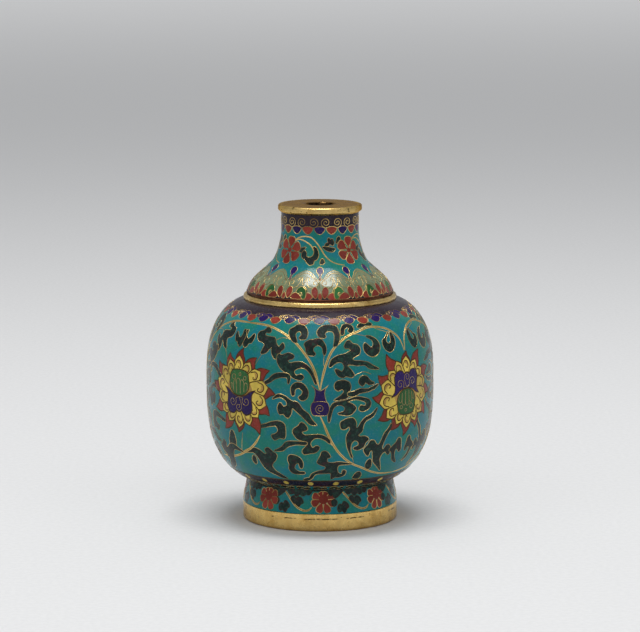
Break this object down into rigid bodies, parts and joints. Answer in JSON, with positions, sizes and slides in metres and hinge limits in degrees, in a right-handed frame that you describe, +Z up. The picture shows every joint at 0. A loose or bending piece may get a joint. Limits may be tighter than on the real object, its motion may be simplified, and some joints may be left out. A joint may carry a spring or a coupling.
{
  "type": "snuff bottle",
  "caption": "Small round-shouldered snuff bottle in cloisonne enamel on gilt copper, with a domed neck, a gilt shoulder rib, a flared foot and an open mouth",
  "frame": {"origin": "centre of the foot's lower face, on the surface that the bottle stands on", "axes": "+Z up along the bottle's axis, -Y towards the side that the picture shows, +X to its right"},
  "size_m": [0.0502, 0.0502, 0.07],
  "materials": {
    "gilt": "worn fire gilding on copper, satin with small pits",
    "copper": "dull bare copper inside the bottle",
    "purple_enamel": "opaque dark purple glass enamel, ground and polished",
    "turquoise_enamel": "opaque mottled turquoise glass enamel, ground and polished, with small pits",
    "pale_green_enamel": "opaque pale green glass enamel, ground and polished",
    "navy_enamel": "opaque dark blue glass enamel, ground and polished"
  },
  "bodies": {
    "root": {"mouth_rim": "gilt", "mouth_sleeve": "copper", "neck_core": "copper", "neck_band_enamel": "purple_enamel", "neck_flower_enamel": "turquoise_enamel", "dome_enamel": "pale_green_enamel", "dome_base_wire": "gilt", "shoulder_rib": "gilt", "body_core": "copper", "collar_enamel": "purple_enamel", "body_enamel": "turquoise_enamel", "bead_upper_wire": "gilt", "bead_enamel": "navy_enamel", "bead_lower_wire": "gilt", "waist_enamel": "turquoise_enamel", "foot_core": "copper", "foot_enamel": "turquoise_enamel", "foot_rim": "gilt", "base_plate": "gilt"}
  },
  "joints": []
}
